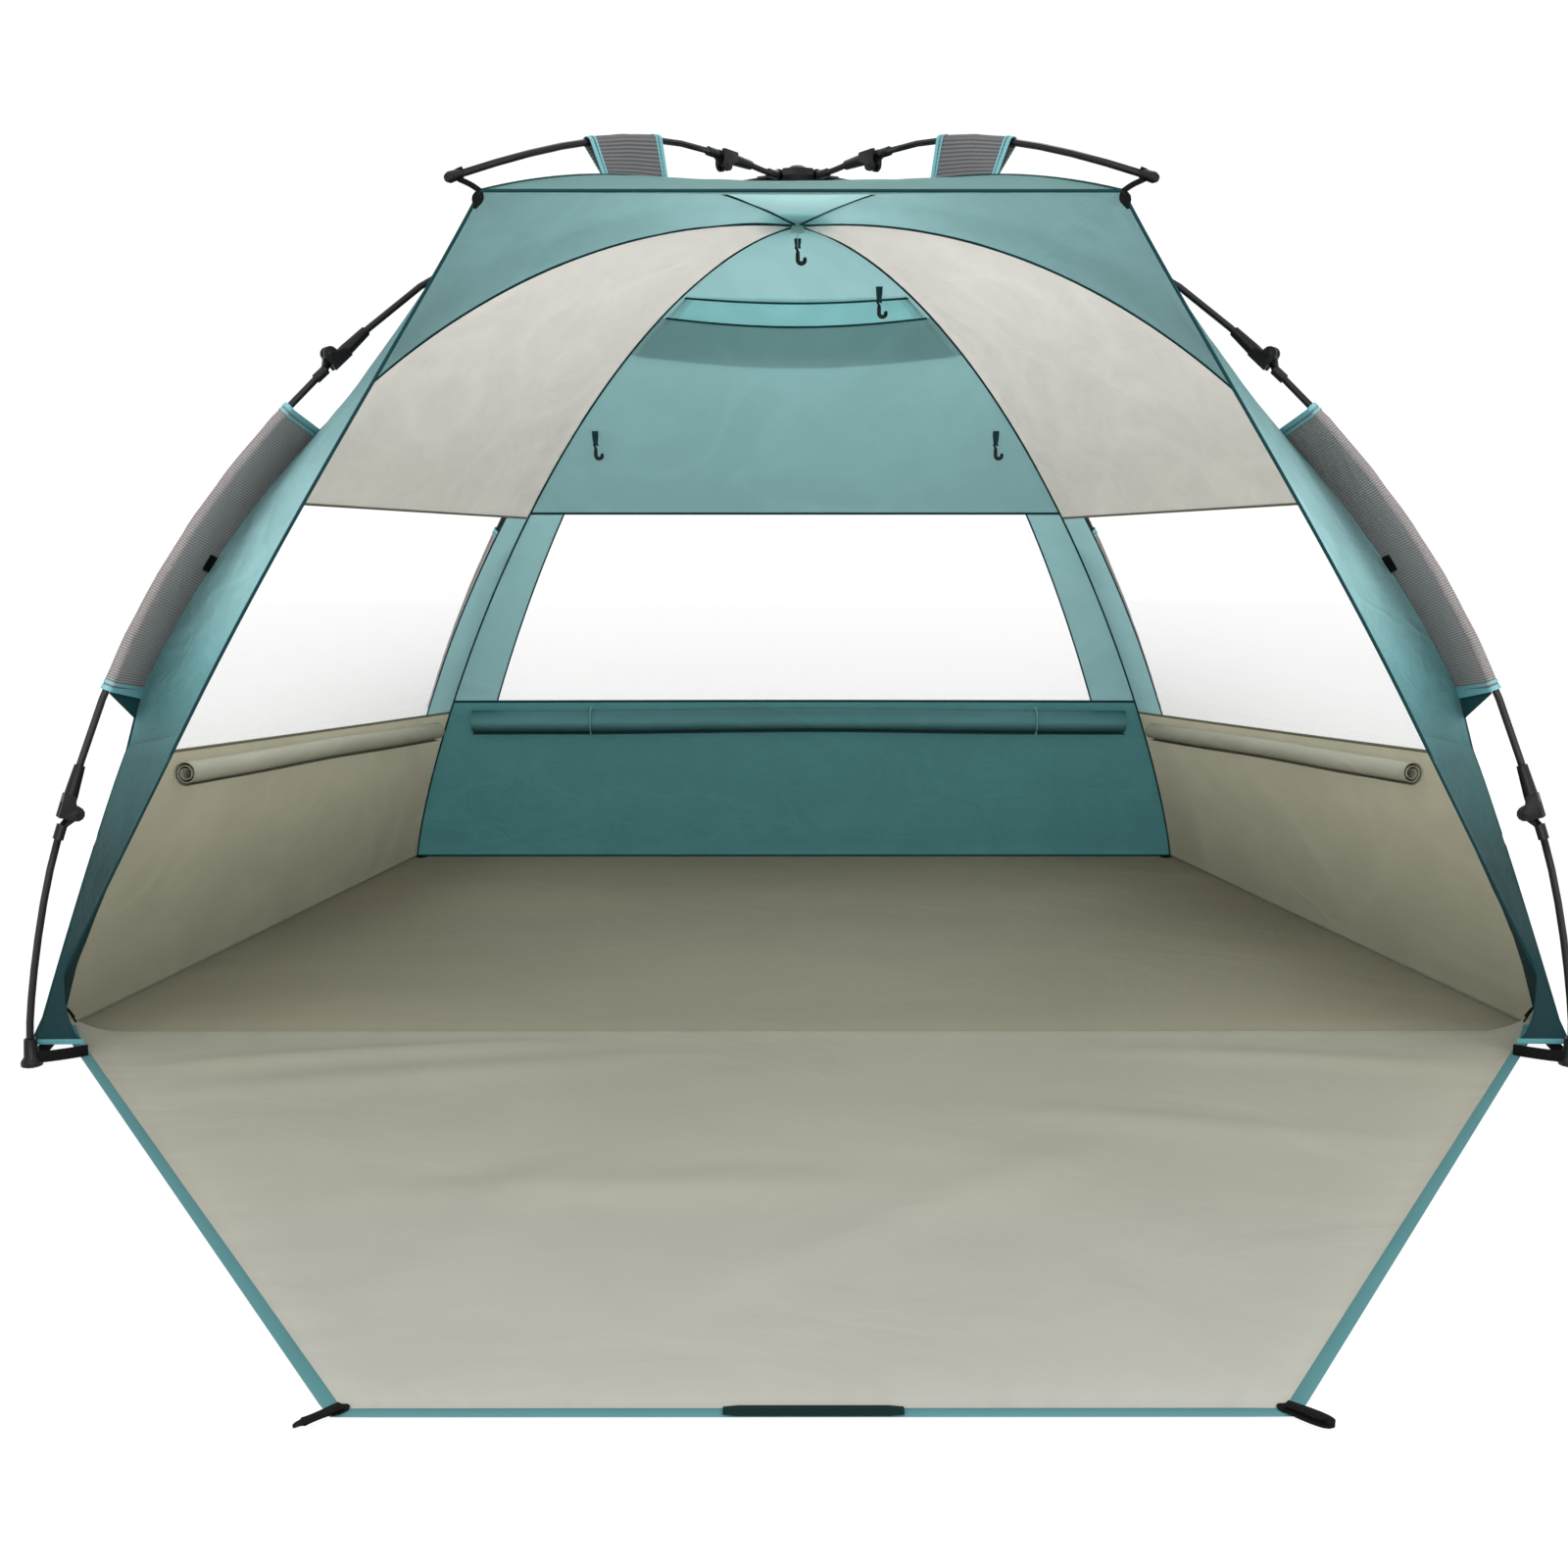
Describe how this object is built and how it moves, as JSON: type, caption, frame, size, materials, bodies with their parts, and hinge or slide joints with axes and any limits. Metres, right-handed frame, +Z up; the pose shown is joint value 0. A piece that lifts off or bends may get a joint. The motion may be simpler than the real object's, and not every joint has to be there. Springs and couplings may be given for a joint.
{
  "type": "beach tent",
  "caption": "Pop-up beach tent with a folding umbrella-style outer frame, a hooded front, netted windows with rolled flaps, a roof vent and a zip-up porch sheet on the ground.",
  "frame": {"origin": "on the ground under the hub, on the underside of the groundsheet", "axes": "+X to the right seen from the doorway, +Y to the back wall, +Z up"},
  "size_m": [2.4246, 2.6691, 1.4663],
  "materials": {
    "teal_fabric": "woven polyester, muted teal",
    "sand_fabric": "woven polyester, sand grey",
    "groundsheet": "coated woven sheet, taupe",
    "window_net": "fine see-through net",
    "sleeve_mesh": "dark grey air mesh",
    "black_rod": "black coated fibreglass rod",
    "black_plastic": "black moulded plastic"
  },
  "bodies": {
    "canopy": {"hub_body": "black_plastic", "hub_cap": "black_plastic", "groundsheet": "groundsheet", "back_wall": "teal_fabric", "back_window_net": "window_net", "vent_flap": "teal_fabric", "hood_roof": "teal_fabric", "hood_side_left": "teal_fabric", "hood_side_right": "teal_fabric", "side_wall_left": "sand_fabric", "side_wall_right": "sand_fabric", "side_window_net_left": "window_net", "side_window_net_right": "window_net", "back_rolled_flap": "teal_fabric", "side_rolled_flap_left": "sand_fabric", "side_rolled_flap_right": "sand_fabric", "crown_patch": "black_plastic", "front_left_sleeve": "sleeve_mesh", "front_right_sleeve": "sleeve_mesh", "back_left_sleeve": "sleeve_mesh", "back_right_sleeve": "sleeve_mesh", "awning_left_sleeve": "sleeve_mesh", "awning_right_sleeve": "sleeve_mesh"},
    "front_left_upper": {"front_left_upper_rod": "black_rod", "front_left_knee_socket": "black_plastic"},
    "front_left_middle": {"front_left_middle_rod": "black_rod", "front_left_ankle_socket": "black_plastic"},
    "front_left_lower": {"front_left_lower_rod": "black_rod", "front_left_foot": "black_plastic"},
    "front_right_upper": {"front_right_upper_rod": "black_rod", "front_right_knee_socket": "black_plastic"},
    "front_right_middle": {"front_right_middle_rod": "black_rod", "front_right_ankle_socket": "black_plastic"},
    "front_right_lower": {"front_right_lower_rod": "black_rod", "front_right_foot": "black_plastic"},
    "back_left_upper": {"back_left_upper_rod": "black_rod", "back_left_knee_socket": "black_plastic"},
    "back_left_middle": {"back_left_middle_rod": "black_rod", "back_left_ankle_socket": "black_plastic"},
    "back_left_lower": {"back_left_lower_rod": "black_rod", "back_left_foot": "black_plastic"},
    "back_right_upper": {"back_right_upper_rod": "black_rod", "back_right_knee_socket": "black_plastic"},
    "back_right_middle": {"back_right_middle_rod": "black_rod", "back_right_ankle_socket": "black_plastic"},
    "back_right_lower": {"back_right_lower_rod": "black_rod", "back_right_foot": "black_plastic"},
    "awning_left_inner": {"awning_left_inner_rod": "black_rod", "awning_left_elbow_socket": "black_plastic"},
    "awning_left_outer": {"awning_left_outer_rod": "black_rod", "awning_left_tip": "black_plastic"},
    "awning_right_inner": {"awning_right_inner_rod": "black_rod", "awning_right_elbow_socket": "black_plastic"},
    "awning_right_outer": {"awning_right_outer_rod": "black_rod", "awning_right_tip": "black_plastic"},
    "porch_sheet": {"porch": "sand_fabric"},
    "apex_hook_body": {"apex_hook": "black_plastic"},
    "left_hook_body": {"left_hook": "black_plastic"},
    "right_hook_body": {"right_hook": "black_plastic"},
    "vent_hook_body": {"vent_hook": "black_plastic"}
  },
  "joints": [
    {"name": "front_left_hub_fold", "type": "hinge", "parent": "canopy", "child": "front_left_upper", "pos_m": [-0.03508, -0.0231, 1.44], "axis": [0.5499, -0.8352, 0], "range_deg": [0, 60], "deforming": ["groundsheet", "back_wall", "back_window_net", "vent_flap", "hood_roof", "hood_side_left", "hood_side_right", "side_wall_left", "side_wall_right", "side_window_net_left", "side_window_net_right", "back_rolled_flap", "side_rolled_flap_left", "side_rolled_flap_right", "crown_patch", "front_left_sleeve", "front_right_sleeve", "back_left_sleeve", "back_right_sleeve", "awning_left_sleeve", "awning_right_sleeve"]},
    {"name": "front_left_knee_fold", "type": "hinge", "parent": "front_left_upper", "child": "front_left_middle", "pos_m": [-0.74805, -0.49252, 1.08063], "axis": [-0.5499, 0.8352, 0], "range_deg": [0, 170]},
    {"name": "front_left_ankle_fold", "type": "hinge", "parent": "front_left_middle", "child": "front_left_lower", "pos_m": [-1.09906, -0.72363, 0.38096], "axis": [0.5499, -0.8352, 0], "range_deg": [0, 140]},
    {"name": "front_right_hub_fold", "type": "hinge", "parent": "canopy", "child": "front_right_upper", "pos_m": [0.03508, -0.0231, 1.44], "axis": [0.5499, 0.8352, 0], "range_deg": [0, 60]},
    {"name": "front_right_knee_fold", "type": "hinge", "parent": "front_right_upper", "child": "front_right_middle", "pos_m": [0.74805, -0.49252, 1.08063], "axis": [-0.5499, -0.8352, 0], "range_deg": [0, 170]},
    {"name": "front_right_ankle_fold", "type": "hinge", "parent": "front_right_middle", "child": "front_right_lower", "pos_m": [1.09906, -0.72363, 0.38096], "axis": [0.5499, 0.8352, 0], "range_deg": [0, 140]},
    {"name": "back_left_hub_fold", "type": "hinge", "parent": "canopy", "child": "back_left_upper", "pos_m": [-0.03162, 0.02765, 1.44], "axis": [-0.6582, -0.7528, 0], "range_deg": [0, 50]},
    {"name": "back_left_knee_fold", "type": "hinge", "parent": "back_left_upper", "child": "back_left_middle", "pos_m": [-0.6269, 0.54814, 0.89287], "axis": [0.6582, 0.7528, 0], "range_deg": [0, 170]},
    {"name": "back_left_ankle_fold", "type": "hinge", "parent": "back_left_middle", "child": "back_left_lower", "pos_m": [-0.9184, 0.80302, 0.20493], "axis": [-0.6582, -0.7528, 0], "range_deg": [0, 140]},
    {"name": "back_right_hub_fold", "type": "hinge", "parent": "canopy", "child": "back_right_upper", "pos_m": [0.03162, 0.02765, 1.44], "axis": [-0.6582, 0.7528, 0], "range_deg": [0, 50]},
    {"name": "back_right_knee_fold", "type": "hinge", "parent": "back_right_upper", "child": "back_right_middle", "pos_m": [0.6269, 0.54814, 0.89287], "axis": [0.6582, -0.7528, 0], "range_deg": [0, 170]},
    {"name": "back_right_ankle_fold", "type": "hinge", "parent": "back_right_middle", "child": "back_right_lower", "pos_m": [0.9184, 0.80302, 0.20493], "axis": [-0.6582, 0.7528, 0], "range_deg": [0, 140]},
    {"name": "awning_left_hub_fold", "type": "hinge", "parent": "canopy", "child": "awning_left_inner", "pos_m": [-0.02595, -0.03302, 1.44], "axis": [0.7862, -0.6179, 0], "range_deg": [0, 45]},
    {"name": "awning_left_elbow_fold", "type": "hinge", "parent": "awning_left_inner", "child": "awning_left_outer", "pos_m": [-0.13018, -0.16563, 1.43402], "axis": [0.7862, -0.6179, 0], "range_deg": [0, 40]},
    {"name": "awning_right_hub_fold", "type": "hinge", "parent": "canopy", "child": "awning_right_inner", "pos_m": [0.02595, -0.03302, 1.44], "axis": [0.7862, 0.6179, 0], "range_deg": [0, 45]},
    {"name": "awning_right_elbow_fold", "type": "hinge", "parent": "awning_right_inner", "child": "awning_right_outer", "pos_m": [0.13018, -0.16563, 1.43402], "axis": [0.7862, 0.6179, 0], "range_deg": [0, 40]},
    {"name": "porch_lift", "type": "hinge", "parent": "canopy", "child": "porch_sheet", "pos_m": [0, -0.61, 0.0025], "axis": [-1, 0, 0], "range_deg": [0, 88]},
    {"name": "apex_hook_swing", "type": "hinge", "parent": "canopy", "child": "apex_hook_body", "pos_m": [0, 0, 1.321], "axis": [0, 1, 0], "range_deg": [-25, 25]},
    {"name": "left_hook_swing", "type": "hinge", "parent": "canopy", "child": "left_hook_body", "pos_m": [-0.42734, 0.41397, 0.9795], "axis": [0, 1, 0], "range_deg": [-25, 25]},
    {"name": "right_hook_swing", "type": "hinge", "parent": "canopy", "child": "right_hook_body", "pos_m": [0.42734, 0.41397, 0.9795], "axis": [0, 1, 0], "range_deg": [-25, 25]},
    {"name": "vent_hook_swing", "type": "hinge", "parent": "canopy", "child": "vent_hook_body", "pos_m": [0.1631, 0.19224, 1.2475], "axis": [0, 1, 0], "range_deg": [-25, 25]}
  ],
  "couplings": [
    {"joint": "front_left_knee_fold", "follows": "front_left_hub_fold", "ratio": 2.8333},
    {"joint": "front_left_ankle_fold", "follows": "front_left_hub_fold", "ratio": 2.3333},
    {"joint": "front_right_hub_fold", "follows": "front_left_hub_fold", "ratio": 1},
    {"joint": "front_right_knee_fold", "follows": "front_left_hub_fold", "ratio": 2.8333},
    {"joint": "front_right_ankle_fold", "follows": "front_left_hub_fold", "ratio": 2.3333},
    {"joint": "back_left_hub_fold", "follows": "front_left_hub_fold", "ratio": 0.8333},
    {"joint": "back_left_knee_fold", "follows": "front_left_hub_fold", "ratio": 2.8333},
    {"joint": "back_left_ankle_fold", "follows": "front_left_hub_fold", "ratio": 2.3333},
    {"joint": "back_right_hub_fold", "follows": "front_left_hub_fold", "ratio": 0.8333},
    {"joint": "back_right_knee_fold", "follows": "front_left_hub_fold", "ratio": 2.8333},
    {"joint": "back_right_ankle_fold", "follows": "front_left_hub_fold", "ratio": 2.3333},
    {"joint": "awning_left_hub_fold", "follows": "front_left_hub_fold", "ratio": 0.75},
    {"joint": "awning_left_elbow_fold", "follows": "front_left_hub_fold", "ratio": 0.6666},
    {"joint": "awning_right_hub_fold", "follows": "front_left_hub_fold", "ratio": 0.75},
    {"joint": "awning_right_elbow_fold", "follows": "front_left_hub_fold", "ratio": 0.6666}
  ]
}
